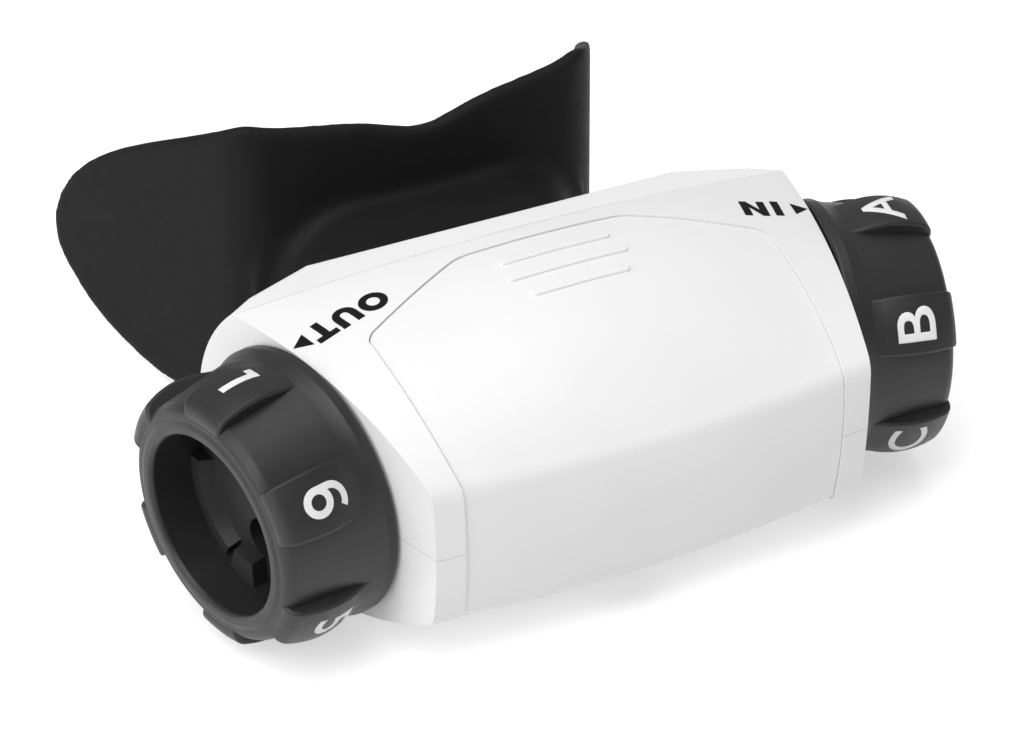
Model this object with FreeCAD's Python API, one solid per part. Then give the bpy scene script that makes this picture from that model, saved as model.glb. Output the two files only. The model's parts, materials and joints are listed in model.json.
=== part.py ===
import FreeCAD, Part
import math
import os

V = FreeCAD.Vector

# Breathing trainer. Millimetres, +X towards the inhale dial, -Y front face, +Y towards the mouth, +Z up.
# The housing is drawn about its parting plane, which holds both dial axes, and is set on its flat last.

# Body
REST_DROP = 17.3        # parting plane to the flat underside
RIM_X = 33.9            # centre of each dial's rim
BODY_REACH = RIM_X + 6.1    # half length of the body blank, before its ends are cut square to the dials
CROWN_X = 35.2          # where the end section is measured
MID_FRONT_TOP = (-21.0, 7.0)
MID_TOP = (-9.6, 15.4)
MID_REAR_TOP = (10.4, 18.6)
MID_REAR = 17.6
MID_UNDER = (-9.6, -16.5)
MID_FRONT_BOTTOM = (-19.9, -10.6)
MID_FRONT = (-21.9, -1.5)
END_FRONT_TOP = (-20.0, 9.0)
END_TOP = (-5.6, 14.0)
END_REAR_TOP = (12.2, 15.8)
END_REAR = 19.4
END_UNDER = (-5.6, -14.0)
END_FRONT_BOTTOM = (-19.9, -7.6)
END_FRONT = (-19.9, 0.0)
SHELL_WALL = 2.2
FRONT_EDGE_R = 2.8
REAR_EDGE_R = 1.0

# Block at the back that carries the mouthpiece
BLOCK_END = (37.6, 11.7)
BLOCK_SHOULDER = (32.9, 15.1)
BLOCK_CORNER = (24.3, 18.8)
BLOCK_FRONT = 6.0
BLOCK_TOP = 15.7
BLOCK_EDGE_R = 0.8

# Electronics unit, clipped over the front
UNIT_HALF_W = 23.85     # half width over the front face
UNIT_FLARE_Z = 8.0      # above and below this the unit widens
UNIT_FLARE = (25.5, 16.7)
UNIT_SIDE = (25.6, -0.6)
UNIT_REAR = (10.6, 7.3)
UNIT_REAR_BOW = 0.1
UNIT_SIDE_R = 2.6
UNIT_REAR_R = 6.0
UNIT_DEPTH = 3.0        # how deep the pocket lies under the body's surface
UNIT_BACK = -10.4       # front face of the housing's core, behind the unit
UNIT_SUNK = 0.2         # how far the unit's skin lies under the body's
UNIT_WALL = 1.6
SEAM = 0.1
UNIT_GAP = 0.2
RIDGES = ((3.69, 6.5), (0.57, 7.15), (-2.54, 5.7))   # depth along Y and half length of each grip ridge
RIDGE_HALF_W = 0.5
RIDGE_PROUD = 0.28
RIDGE_EDGE_R = 0.12

# Dials
TILT = 14.8             # how far each dial axis leans forward of the X axis
END_FACE = -1.1         # end of the body, along the dial axis from the rim
DIAL_BACK = -0.8
RIM_R = 16.0
RIM_WALL = 2.4          # rim to the skirt's bore
RIM_EDGE_S = 0.6
RIM_ROUND = 0.45
DIP_R = RIM_R - 0.6
DIP_S = 2.2
DIAL_LENGTH = 12.7
NECK_R = RIM_R - 2.0
NECK_S = DIAL_LENGTH - 1.4
LIP_R = RIM_R - 3.6
LIP_S = DIAL_LENGTH - 0.2
LIP_ROUND = 0.6
LABELS = 6
PAD_HALF_ANGLE = 13.0
PAD_DEPTH = 2.0         # how deep a pad's root reaches into the dial's wall
PAD_START = (DIP_R - 0.02, DIP_S - 0.2)
PAD_RISE = (RIM_R - 0.25, DIP_S + 1.7)
PAD_CROWN = (RIM_R + 0.15, 6.4)
PAD_NOSE = (RIM_R - 0.7, DIAL_LENGTH - 1.5)
PAD_END = (RIM_R - 2.6, DIAL_LENGTH - 0.2)
PAD_EDGE_R = 0.35

# What turns and seals inside a dial
RUN_CLEAR = 0.05
DETENT_ROOM = 2.4       # from the barrel to the skirt, where the spring leaf lies
LEAF_GAP = 0.9
LEAF_T = 0.4
BARREL_R = RIM_R - RIM_WALL - DETENT_ROOM
BARREL_WALL = 1.6
BARREL_END = 3.8
BARREL_DEPTH = 10.0
BARREL_FLANGE_R = BARREL_R + 1.8
BARREL_FLANGE_T = 1.4
BARREL_BORE_R = BARREL_R - BARREL_WALL
SKIRT_R = BARREL_R + DETENT_ROOM
SKIRT_DEPTH = 0.2
JOURNAL_R = BARREL_R + 1.05
JOURNAL_LENGTH = 2.1
JOURNAL_BACK = 0.2      # from the barrel's end to the journal's
GROOVE_R = JOURNAL_R + 1.0
GROOVE_DEPTH = 1.4
DIAL_BORE_R = BARREL_R - 0.6
DISC_STAND = 0.4        # from the barrel's end to the disc
DISC_T = 1.4
LEDGE_S = BARREL_END + DISC_STAND + DISC_T
PORT_PLATE_T = 1.2
PORT_SEAT = 0.8         # width and thickness of the step that the port plate rests on
ORIFICE_PITCH_R = 5.0
ORIFICE_LARGE_R = 2.2
ORIFICE_STEP_R = 0.24
WINDOW_R = 2.4
PIVOT_R = 1.2
PIVOT_PROUD = 0.5
ROOT = 0.2              # how deep raised details are rooted in the disc
VANE_ARC = (-150.0, 70.0)
VANE_T = (2.2, 1.4)     # at its foot and at its top
VANE_HEIGHT = 1.6
LUG_ARC = (178.0, 24.0)
LUG_T = (3.4, 3.0)
LUG_HEIGHT = 2.0
SEAL_R = BARREL_R - 0.8
SEAL_WIRE_R = 0.45
SEAL_CLEAR = 0.05
SEAL_GROOVE = 0.7
RETAINER_PLAY = 0.1
RETAINER_SPLIT = 1.0
DETENT_SPAN = 24.0
NOTCH_R = 0.9

# Valves and the arms of the airway that hold them
DUCT_WALL = 1.2
VALVE_CHAMBER_R = BARREL_BORE_R - 0.1
VALVE_CHAMBER = 8.6
DUCT_R = VALVE_CHAMBER_R - 2.1
VALVE_S = -8.6
SEAT_T = 1.4
FLAP_R = VALVE_CHAMBER_R - DUCT_WALL - 0.9
FLAP_T = 0.6
FLAP_HINGE_UP = FLAP_R - 0.8
SEAT_HOLE_R = FLAP_R - 1.2
FLAP_GAP = 0.1
SPOKE_HALF_W = 0.5

# Airway
CHAMBER_TAPER = 3.0
SENSE_R = 1.5
SENSE_BORE_R = 0.6
SEAL_LIP = 0.5          # from the tap's wall out to the recess's
SENSE_RECESS = 1.0      # depth of the recess for the seal in the core's front
NOZZLE_HALF_W = 16.0
NOZZLE_HALF_H = 8.0
NOZZLE_END = 33.0
NOZZLE_ROOM = 0.2

# Mouthpiece
COLLAR_START = 19.1
COLLAR_HALF_W = 20.0
COLLAR_HALF_H = 10.6
FIT_SOFT = 0.05
FLANGE_Y = 36.9
FLANGE_T = 2.0
FLANGE_TURN_R = 6.0
FLANGE_CORNER = (23.75, 38.7)
FLANGE_TIP = (40.15, 68.2)
FLANGE_TOP = ((35.0, 25.6), (40.5, 23.2), (43.7, 21.6), (52.2, 17.7), (58.2, 14.5), (63.4, 10.1),
              (66.5, 4.5), (67.1, 1.2))
FLANGE_LOW = ((66.5, -2.1), (64.6, -5.9), (62.0, -9.5), (58.4, -12.7), (53.0, -15.9), (44.0, -17.2),
              (35.0, -17.2))
NOTCH = ((0.0, 19.1), (7.0, 20.8), (12.0, 21.7), (20.4, 22.9), (27.0, 25.2))
COLLAR_DEPTH = 1.2      # how far the collar runs into the flange
BITE_X = 17.0
BITE_W = 8.0
BITE_T = 2.6
BITE_LENGTH = 11.0
BITE_RIDGE = 2.0
BITE_ROOT = 0.5

# Electronics
BOARD = (38.0, 1.0, 14.0)
BOARD_STANDOFF = 1.2
CHIP = (2.6, 1.0, 5.0)
CHIPS_X = (-13.6, 13.6)
CELL = (24.0, 4.2, 10.0)
CELL_RAISE = 1.0
CELL_GAP = 0.1
CELL_EDGE_R = 1.2
BUTTON_HALF_W = 4.0
BUTTON_R = 1.9
BUTTON_Y = -15.6
BUTTON_TRAVEL = 0.6
BUTTON_CLEAR = 0.08
BUTTON_SEAT_Z = -9.6
BUTTON_RIM = 0.7
BUTTON_RIM_T = 0.6
SWITCH = (2.6, 3.2, 3.4)
SWITCH_GAP = 0.1
LIGHT_X = 8.5
LIGHT_R = 0.9
LIGHT_TOP = -8.8
LIGHT_PROUD = 1.0
SENSOR_X = -2.0
SENSOR_R = 1.5
SENSOR_BODY = (2.2, 1.0)
SOCKET_X = 9.0
SOCKET = (8.9, 3.2)
SOCKET_CLEAR = 0.1
SOCKET_WALL = 0.4
TONGUE_HALF_T = 0.35
UNIT_POSTS = (-17.0, 17.0)
UNIT_SCREW_R = 0.8
UNIT_SCREW_HEAD_R = 1.4
UNIT_SCREW_HEAD_T = 0.7
UNIT_SCREW_SEAT = 0.8
UNIT_SCREW_LENGTH = 6.4
UNIT_SLOT_HALF_L = 0.9
UNIT_SLOT_HALF_W = 0.2
UNIT_POST_R = 1.6
STANDOFF_R = 1.5
PILOT_DEPTH = 4.0
PILOT_CLEAR = 0.01

# Screws
SCREWS = ((10.0, -6.0), (21.5, 15.9))
SCREW_LENGTH = 18.0
SCREW_FRONT_SEAT = -13.2
SCREW_REAR_SEAT = -15.1
SCREW_R = 0.95
SCREW_HEAD_R = 1.7
SCREW_HEAD_T = 1.2
BOSS_R = 2.1
HEAD_CLEAR = 0.1
TIP_ROOM = 0.5
SLOT_HALF_L = 1.1
SLOT_HALF_W = 0.25
SLOT_DEPTH = 0.5


def box(x, y, z):
    """Box from its (low, high) limits along X, Y and Z."""
    return Part.makeBox(x[1] - x[0], y[1] - y[0], z[1] - z[0], V(x[0], y[0], z[0]))


def cyl(r, low, high, x=0.0, y=0.0):
    return Part.makeCylinder(r, high - low, V(x, y, low))


def rod(r, front, back, x=0.0, z=0.0):
    """Cylinder along Y, from its front to its back."""
    return Part.makeCylinder(r, back - front, V(x, front, z), V(0, 1, 0))


def ring(r_in, r_out, low, high):
    return cyl(r_out, low, high).cut(cyl(r_in, low, high))


def fuse(shapes):
    return shapes[0].fuse(shapes[1:]).removeSplitter()


def side_frame():
    """Inhale dial's frame: local Z outward along its axis, local X up, origin at the rim's centre."""
    lean = math.radians(TILT)
    out = V(math.cos(lean), -math.sin(lean), 0)
    up = V(0, 0, 1)
    return FreeCAD.Placement(V(RIM_X, 0, 0), FreeCAD.Rotation(up, out.cross(up), out, "ZXY"))


FRAME = side_frame()
AXES_MEET_Y = RIM_X * math.tan(math.radians(TILT))
AXES_MEET_S = -RIM_X / math.cos(math.radians(TILT))


def placed(shape):
    """Moves a shape drawn along the dial axis to the inhale side."""
    return shape.transformed(FRAME.toMatrix())


def mirrored(shape):
    return shape.mirror(V(0, 0, 0), V(1, 0, 0))


def both(shape):
    return [shape, mirrored(shape)]


def polar(r, angle, s):
    a = math.radians(angle)
    return V(r * math.cos(a), r * math.sin(a), s)


def outline(points, place):
    """Closed wire through points; a point marked "arc" is the middle of an arc, not a corner."""
    edges = []
    here, middle = points[0], None
    for step in list(points[1:]) + [points[0]]:
        if len(step) == 3:
            middle = step
            continue
        if middle:
            edges.append(Part.Arc(place(*here), place(*middle[:2]), place(*step)).toShape())
        else:
            edges.append(Part.makeLine(place(*here), place(*step)))
        here, middle = step, None
    return Part.Wire(edges)


def revolved(points, start=0.0, angle=360.0):
    """Turns a closed (radius, height) outline about local Z."""
    solid = Part.Face(outline(points, lambda r, s: V(r, 0, s))).revolve(V(0, 0, 0), V(0, 0, 1), angle)
    solid.rotate(V(0, 0, 0), V(0, 0, 1), start)
    return solid


def edges_where(shape, test):
    return [edge for edge in shape.Edges if test(edge)]


def blend(mid, end, share):
    return [a + (b - a) * share for a, b in zip(mid, end)]


def section(x, inset):
    """Body section across X: four arcs, moved inwards by inset, or outwards if it is negative."""
    share = (x / CROWN_X) ** 2

    def at(mid, end):
        return V(x, *blend(mid, end, share))

    front_top = at(MID_FRONT_TOP, END_FRONT_TOP)
    rear_top = at(MID_REAR_TOP, END_REAR_TOP)
    rear_low = V(x, rear_top.y, -rear_top.z)
    front_low = at(MID_FRONT_BOTTOM, END_FRONT_BOTTOM)
    wire = Part.Wire([
        Part.Arc(front_top, at(MID_TOP, END_TOP), rear_top).toShape(),
        Part.Arc(rear_top, at((MID_REAR, 0.0), (END_REAR, 0.0)), rear_low).toShape(),
        Part.Arc(rear_low, at(MID_UNDER, END_UNDER), front_low).toShape(),
        Part.Arc(front_low, at(MID_FRONT, END_FRONT), front_top).toShape(),
    ])
    return wire.makeOffset2D(-inset, 2) if inset else wire


def blank(inset=0.0):
    """Lofted body form with its crowned top, before its ends are cut."""
    places = [BODY_REACH * step / 2 for step in (-2, -1, 0, 1, 2)]
    return Part.makeLoft([section(x, inset) for x in places], True)


def rounded_blank(inset=0.0):
    """Body form with its four long edges rounded."""
    form = blank(inset)
    for radius, front in ((FRONT_EDGE_R, True), (REAR_EDGE_R, False)):
        edges = edges_where(form, lambda e: e.BoundBox.XLength > 1.9 * BODY_REACH
                            and (e.CenterOfMass.y < 0) == front
                            and abs(e.CenterOfMass.z) > 1.0 and e.Curve.TypeId != "Part::GeomLine"
                            and is_corner(form, e))
        form = form.makeFillet(radius, edges)
    return form


def is_corner(shape, edge):
    """True where the two faces beside an edge meet at an angle, not smoothly."""
    point = edge.valueAt((edge.FirstParameter + edge.LastParameter) / 2)
    normals = []
    for face in shape.Faces:
        if any(edge.isSame(other) for other in face.Edges):
            u, v = face.Surface.parameter(point)
            normals.append(face.Surface.normal(u, v))
    return abs(normals[0].dot(normals[1])) < 0.99


def without_ends(shape, face):
    """Cuts a shape square to both dial axes."""
    size = 4 * BODY_REACH
    block = placed(Part.makeBox(size, size, size, V(-size / 2, -size / 2, face)))
    return shape.cut(both(block))


def stadium(half_w, half_h, y_low, y_high):
    """Solid with a straight-sided oval section, along Y."""
    flat = half_w - half_h
    wire = outline([(-flat, half_h), (flat, half_h), (half_w, 0.0, "arc"), (flat, -half_h),
                    (-flat, -half_h), (-half_w, 0.0, "arc")], lambda x, z: V(x, y_low, z))
    return Part.Face(wire).extrude(V(0, y_high - y_low, 0))


def unit_region(inset):
    """Space of the electronics unit: straight along Y, so that it can draw off forwards."""
    far = 2 * BODY_REACH
    slope = (UNIT_FLARE[0] - UNIT_HALF_W) / (UNIT_FLARE[1] - UNIT_FLARE_Z)
    wide = UNIT_HALF_W + slope * (far - UNIT_FLARE_Z)
    front = outline([(-wide, far), (wide, far), (UNIT_HALF_W, UNIT_FLARE_Z),
                     (UNIT_HALF_W, -UNIT_FLARE_Z), (wide, -far), (-wide, -far),
                     (-UNIT_HALF_W, -UNIT_FLARE_Z), (-UNIT_HALF_W, UNIT_FLARE_Z)],
                    lambda x, z: V(x, -far, z))
    side, rear = UNIT_SIDE, UNIT_REAR
    plan = outline([(-side[0], -far), (side[0], -far), side, rear,
                    (0.0, rear[1] + UNIT_REAR_BOW, "arc"), (-rear[0], rear[1]), (-side[0], side[1])],
                   lambda x, y: V(x, y, -far))
    shapes = []
    for wire, way in ((front, V(0, 2 * far, 0)), (plan, V(0, 0, 2 * far))):
        shapes.append(Part.Face(wire.makeOffset2D(-inset, 2)).extrude(way))
    above = shapes[1].makeFillet(UNIT_REAR_R, edges_near(shapes[1], rear))
    above = above.makeFillet(UNIT_SIDE_R, edges_near(above, side))
    return above.common(shapes[0])


def edges_near(shape, corner):
    """The upright edges nearest to a plan corner and to its mirror image."""
    upright = edges_where(shape, lambda e: abs(abs(e.tangentAt(e.FirstParameter).z) - 1.0) < 1e-6)
    return [min(upright, key=lambda e: math.hypot(e.CenterOfMass.x - side * corner[0],
                                                  e.CenterOfMass.y - corner[1])) for side in (-1, 1)]


def core(inset, back):
    """What lies under the electronics unit: the body form, set in, behind a flat front."""
    far = 2 * BODY_REACH
    return blank(inset).common(box((-far, far), (back, far), (-far, far)))


def rear_block():
    """Block round the mouthpiece socket, its corners set back, running out into the body's ends."""
    half = [(BLOCK_END[0], BLOCK_FRONT), BLOCK_END, BLOCK_SHOULDER, BLOCK_CORNER]
    points = half + [(-x, y) for x, y in reversed(half)]
    wire = outline(points, lambda x, y: V(x, y, -BLOCK_TOP))
    block = Part.Face(wire).extrude(V(0, 0, 2 * BLOCK_TOP))
    edges = edges_where(block, lambda e: e.CenterOfMass.y > BLOCK_FRONT + 1)
    return without_ends(block.makeFillet(BLOCK_EDGE_R, edges), END_FACE)


def shell_cavity():
    """Hollow of the housing, a wall in from the skin and from the unit's pocket."""
    behind = blank(SHELL_WALL).cut(unit_region(-SHELL_WALL))
    inner = core(UNIT_DEPTH + SHELL_WALL, UNIT_BACK + SHELL_WALL)
    return without_ends(behind.fuse(inner), END_FACE - SHELL_WALL)


def screw_bosses(form):
    """Posts that the shell screws run in, from floor to roof."""
    posts = [cyl(BOSS_R, -REST_DROP, REST_DROP, side * x, y) for x, y in SCREWS for side in (-1, 1)]
    return [post.common(form) for post in posts]


def housing():
    """Both housing shells as one form, ready to be parted at the dial axes."""
    far = 2 * BODY_REACH
    form = fuse([without_ends(rounded_blank(), END_FACE), rear_block()])
    form = form.cut(box((-far, far), (-far, far), (-far, -REST_DROP)))
    form = form.cut(unit_region(0.0).cut(core(UNIT_DEPTH, UNIT_BACK)))
    posts = screw_bosses(form)
    form = form.cut(shell_cavity()).fuse(posts)
    barrel_ways = both(placed(cyl(BARREL_R + RUN_CLEAR, -BARREL_DEPTH, DIAL_LENGTH)))
    flange_ways = both(placed(cyl(BARREL_FLANGE_R + RUN_CLEAR, END_FACE - SHELL_WALL - BARREL_FLANGE_T,
                                  END_FACE - SHELL_WALL)))
    duct_way = stadium(NOZZLE_HALF_W + RUN_CLEAR, NOZZLE_HALF_H + RUN_CLEAR, AXES_MEET_Y, COLLAR_START)
    recess = UNIT_BACK + SENSE_RECESS
    tap_way = rod(SENSE_R + RUN_CLEAR, recess, recess + SHELL_WALL + 1.0, SENSOR_X)
    seal_way = rod(SENSE_R + SEAL_LIP, UNIT_BACK - UNIT_GAP, recess, SENSOR_X)
    form = form.cut(barrel_ways + flange_ways + [duct_way, tap_way, seal_way])
    for x, y in SCREWS:
        head = screw_seat(y)
        for side in (-1, 1):
            form = form.cut([cyl(SCREW_HEAD_R + HEAD_CLEAR, -REST_DROP, head + SCREW_HEAD_T, side * x, y),
                             cyl(SCREW_R + RUN_CLEAR, head, head + SCREW_LENGTH + TIP_ROOM, side * x, y)])
    return form


def screw_seat(y):
    """Height of a screw head's underside: sunk in the unit's pocket in front, in the block behind."""
    return SCREW_REAR_SEAT if y > 0 else SCREW_FRONT_SEAT


def shell(form, above):
    far = 2 * BODY_REACH
    half = box((-far, far), (-far, far), (0, far) if above else (-far, 0))
    return form.common(half)


def shell_screws():
    screws = []
    for x, y in SCREWS:
        for side in (-1, 1):
            low = screw_seat(y)
            head = cyl(SCREW_HEAD_R, low, low + SCREW_HEAD_T, side * x, y)
            shank = cyl(SCREW_R, low + SCREW_HEAD_T, low + SCREW_LENGTH, side * x, y)
            slot = box((side * x - SLOT_HALF_L, side * x + SLOT_HALF_L),
                       (y - SLOT_HALF_W, y + SLOT_HALF_W), (low, low + SLOT_DEPTH))
            screws.append(head.fuse(shank).cut(slot))
    return Part.makeCompound(screws)


def duct_half():
    """One arm of the airway, wide where it holds the valve, as (outside, inside)."""
    solids = []
    for wall in (0.0, DUCT_WALL):
        narrow, wide = DUCT_R - wall, VALVE_CHAMBER_R - wall
        solids.append(placed(revolved([
            (0.0, AXES_MEET_S), (narrow, AXES_MEET_S), (narrow, VALVE_S - VALVE_CHAMBER - CHAMBER_TAPER),
            (wide, VALVE_S - VALVE_CHAMBER), (wide, VALVE_S), (0.0, VALVE_S)])))
    return solids


def airway_duct():
    """Manifold from both valves to the oval nozzle that carries the mouthpiece."""
    outer, inner = duct_half()
    nozzle = stadium(NOZZLE_HALF_W, NOZZLE_HALF_H, AXES_MEET_Y, NOZZLE_END)
    bore = stadium(NOZZLE_HALF_W - DUCT_WALL, NOZZLE_HALF_H - DUCT_WALL, AXES_MEET_Y, NOZZLE_END)
    tap, tap_bore = [rod(r, UNIT_BACK + SENSE_RECESS, AXES_MEET_Y, SENSOR_X) for r in (SENSE_R, SENSE_BORE_R)]
    outside = nozzle.fuse(both(outer) + [tap])
    return outside.cut([bore, tap_bore] + both(inner))


def dial():
    """Turning grip: flared rim, tapered scoops, a rounded end and six raised label pads."""
    journal_way = JOURNAL_R + RUN_CLEAR
    grip = revolved([
        (SKIRT_R, DIAL_BACK), (RIM_R - RIM_ROUND, DIAL_BACK),
        (RIM_R - 0.3 * RIM_ROUND, DIAL_BACK + 0.3 * RIM_ROUND, "arc"), (RIM_R, DIAL_BACK + RIM_ROUND),
        (RIM_R, RIM_EDGE_S), (DIP_R + 0.24, (RIM_EDGE_S + DIP_S) / 2, "arc"), (DIP_R, DIP_S),
        (NECK_R, NECK_S), (0.4 * NECK_R + 0.6 * LIP_R + 0.4, LIP_S - 0.3, "arc"), (LIP_R, LIP_S),
        (LIP_R - LIP_ROUND, DIAL_LENGTH), (DIAL_BORE_R + LIP_ROUND, DIAL_LENGTH),
        (DIAL_BORE_R + 0.3 * LIP_ROUND, DIAL_LENGTH - 0.3 * LIP_ROUND, "arc"),
        (DIAL_BORE_R, DIAL_LENGTH - LIP_ROUND), (DIAL_BORE_R, LEDGE_S), (journal_way, LEDGE_S),
        (journal_way, GROOVE_DEPTH), (GROOVE_R, GROOVE_DEPTH), (GROOVE_R, SKIRT_DEPTH),
        (SKIRT_R, SKIRT_DEPTH)])
    notch = cyl(NOTCH_R, DIAL_BACK - 0.1, SKIRT_DEPTH, SKIRT_R)
    pads = turned_copies(label_pad())
    return grip.fuse(pads).cut(turned_copies(notch))


def turned_copies(shape):
    """One copy for each label, evenly round the dial."""
    copies = []
    for k in range(LABELS):
        copy = shape.copy()
        copy.rotate(V(0, 0, 0), V(0, 0, 1), 360.0 * k / LABELS)
        copies.append(copy)
    return copies


def label_pad():
    """Raised pad under one label: it swells out of the scoops and ends in a rounded nose."""
    root = PAD_START[0] - PAD_DEPTH
    foot = LIP_R + 0.2
    pad = revolved([
        (root, PAD_START[1]), PAD_START, (PAD_START[0] + 0.12, (PAD_START[1] + PAD_RISE[1]) / 2, "arc"),
        PAD_RISE, PAD_CROWN + ("arc",), PAD_NOSE,
        (PAD_NOSE[0] - 0.5, PAD_NOSE[1] + 0.8, "arc"), PAD_END, (foot, LIP_S - 0.1), (foot, LEDGE_S)],
        -PAD_HALF_ANGLE, 2 * PAD_HALF_ANGLE)
    edges = edges_where(pad, lambda e: on_side(e) and e.Curve.TypeId == "Part::GeomCircle")
    return pad.makeFillet(PAD_EDGE_R, edges)


def on_side(edge):
    """True for an edge in one of a pad's two flat side planes."""
    return all(abs(abs(math.degrees(math.atan2(v.Y, v.X))) - PAD_HALF_ANGLE) < 0.5 for v in edge.Vertexes) \
        and edge.BoundBox.ZLength > 0.5


def orifice_disc():
    """Disc that turns with the dial: one window, a curved vane and a lug in the bore."""
    disc = cyl(JOURNAL_R - RUN_CLEAR, LEDGE_S - DISC_T, LEDGE_S)
    vane = raised_arc(VANE_T, VANE_HEIGHT, VANE_ARC)
    lug = raised_arc(LUG_T, LUG_HEIGHT, LUG_ARC)
    window = cyl(WINDOW_R, 0, LEDGE_S, -ORIFICE_PITCH_R, 0)
    return disc.fuse([vane, lug]).cut([cyl(PIVOT_R + RUN_CLEAR, 0, DIAL_LENGTH), window])


def raised_arc(thickness, height, arc):
    """Wall along the bore on the disc's face, tapering from its foot to its top."""
    r = DIAL_BORE_R - RUN_CLEAR
    return revolved([(r - thickness[0], LEDGE_S - ROOT), (r, LEDGE_S - ROOT), (r, LEDGE_S + height),
                     (r - thickness[1], LEDGE_S + height)], *arc)


def port_barrel():
    """Fixed barrel that the dial turns on, clamped by its flange between the shells."""
    bore = BARREL_BORE_R
    back = END_FACE - SHELL_WALL
    journal_end = BARREL_END - JOURNAL_BACK
    plate_seat = BARREL_END - PORT_PLATE_T
    barrel = fuse([
        ring(bore, BARREL_R, -BARREL_DEPTH, BARREL_END),
        ring(bore, JOURNAL_R, journal_end - JOURNAL_LENGTH, journal_end),
        ring(bore, BARREL_FLANGE_R, back - BARREL_FLANGE_T, back),
        ring(bore - PORT_SEAT, bore + BARREL_WALL / 4, plate_seat - PORT_SEAT, plate_seat)])
    half = SEAL_WIRE_R + SEAL_CLEAR
    return barrel.cut(ring(SEAL_R - half, SEAL_R + half, BARREL_END - SEAL_GROOVE, BARREL_END))


def port_plate():
    """Fixed plate with the six graded holes that the window passes over, and the disc's pivot."""
    plate = cyl(BARREL_BORE_R - RUN_CLEAR, BARREL_END - PORT_PLATE_T, BARREL_END)
    pivot = cyl(PIVOT_R, BARREL_END - ROOT, LEDGE_S + PIVOT_PROUD)
    holes = []
    for k in range(LABELS):
        at = polar(ORIFICE_PITCH_R, 180.0 + 360.0 * k / LABELS, 0)
        holes.append(cyl(ORIFICE_LARGE_R - ORIFICE_STEP_R * k, 0, LEDGE_S, at.x, at.y))
    return plate.fuse(pivot).cut(holes)


def seal_ring():
    return Part.makeTorus(SEAL_R, SEAL_WIRE_R, V(0, 0, BARREL_END - SEAL_GROOVE + SEAL_WIRE_R + SEAL_CLEAR))


def retaining_ring():
    """Split ring in the dial's groove, behind the barrel's journal."""
    low, high = SKIRT_DEPTH + RETAINER_PLAY, GROOVE_DEPTH - RETAINER_PLAY
    whole = ring(BARREL_R + 2 * RUN_CLEAR, GROOVE_R - RUN_CLEAR, low, high)
    return whole.cut(box((0, RIM_R), (-RETAINER_SPLIT, RETAINER_SPLIT), (low, high)))


def detent_spring():
    """Bowed leaf on the end face that the skirt's notches run over."""
    low, high = END_FACE, 0.0
    inner, outer = BARREL_R + LEAF_GAP, BARREL_R + LEAF_GAP + LEAF_T
    leaf = revolved([(inner, low), (outer, low), (outer, high), (inner, high)],
                    180.0 - DETENT_SPAN, 2 * DETENT_SPAN)
    bump = cyl(SKIRT_R - outer - RETAINER_PLAY, low, high, -outer, 0.0).cut(cyl(inner, low, high))
    return leaf.fuse(bump)


def valve_seat():
    """Spoked seat at the mouth of the duct, in the barrel."""
    low, high = VALVE_S, VALVE_S + SEAT_T
    seat = ring(SEAT_HOLE_R, BARREL_BORE_R - RUN_CLEAR, low, high)
    reach = SEAT_HOLE_R + SPOKE_HALF_W
    bar = box((-reach, reach), (-SPOKE_HALF_W, SPOKE_HALF_W), (low, high))
    cross = bar.copy()
    cross.rotate(V(0, 0, 0), V(0, 0, 1), 90)
    return fuse([seat, bar, cross])


def valve_flap(low):
    """Silicone flap with a straight top edge that it swings on."""
    return cyl(FLAP_R, low, low + FLAP_T).common(box((-FLAP_R, FLAP_HINGE_UP), (-FLAP_R, FLAP_R),
                                                     (low, low + FLAP_T)))


def flange():
    """Lip flange: a band, nearly flat in front and swept back, cut to its lobed outline and notch."""
    far = 2 * BODY_REACH
    corner, tip = FLANGE_CORNER, FLANGE_TIP
    lean = (tip[0] - corner[0]) / (tip[1] - corner[1])
    end = (corner[0] + lean * (far - corner[1]), far)
    wire = outline([(-end[0], far), (-corner[0], corner[1]), (0.0, FLANGE_Y, "arc"), corner, end],
                   lambda x, y: V(x, y, -far))
    outside = Part.Face(wire).extrude(V(0, 0, 2 * far))
    inside = Part.Face(wire.makeOffset2D(-FLANGE_T, 2)).extrude(V(0, 0, 2 * far))
    outside = outside.makeFillet(FLANGE_TURN_R + FLANGE_T, edges_near(outside, corner))
    inside = inside.makeFillet(FLANGE_TURN_R, edges_near(inside, corner))
    band = outside.cut(inside)
    rim = curve_through([V(-far, y, z) for y, z in FLANGE_TOP + FLANGE_LOW])
    first, last = rim.valueAt(rim.FirstParameter), rim.valueAt(rim.LastParameter)
    side = Part.Face(Part.Wire([rim, Part.makeLine(last, first)])).extrude(V(2 * far, 0, 0))
    rise = [V(x, 0, z) for x, z in NOTCH]
    dip = curve_through([V(-point.x, 0, point.z) for point in rise[:0:-1]] + rise)
    end_x, end_z = NOTCH[-1]
    roof = Part.makePolygon([V(end_x, 0, end_z), V(end_x, 0, far), V(-end_x, 0, far), V(-end_x, 0, end_z)])
    depth = FLANGE_CORNER[1] + FLANGE_T + FLANGE_TURN_R / 2
    notch = Part.Face(Part.Wire([dip] + roof.Edges)).extrude(V(0, depth, 0))
    return band.common(side).cut(notch)


def curve_through(points):
    """Smooth edge through points."""
    curve = Part.BSplineCurve()
    curve.interpolate(points)
    return curve.toShape()


def bite_tab(side):
    """Tab held between the teeth, with a ridge behind them."""
    start = FLANGE_Y + FLANGE_T - BITE_ROOT
    x = (side * BITE_X - BITE_W / 2, side * BITE_X + BITE_W / 2)
    end = start + BITE_LENGTH
    tab = box(x, (start, end), (-BITE_T / 2, BITE_T / 2))
    ridge = box(x, (end - BITE_RIDGE, end), (-BITE_T, BITE_T))
    return fuse([tab, ridge])


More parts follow.
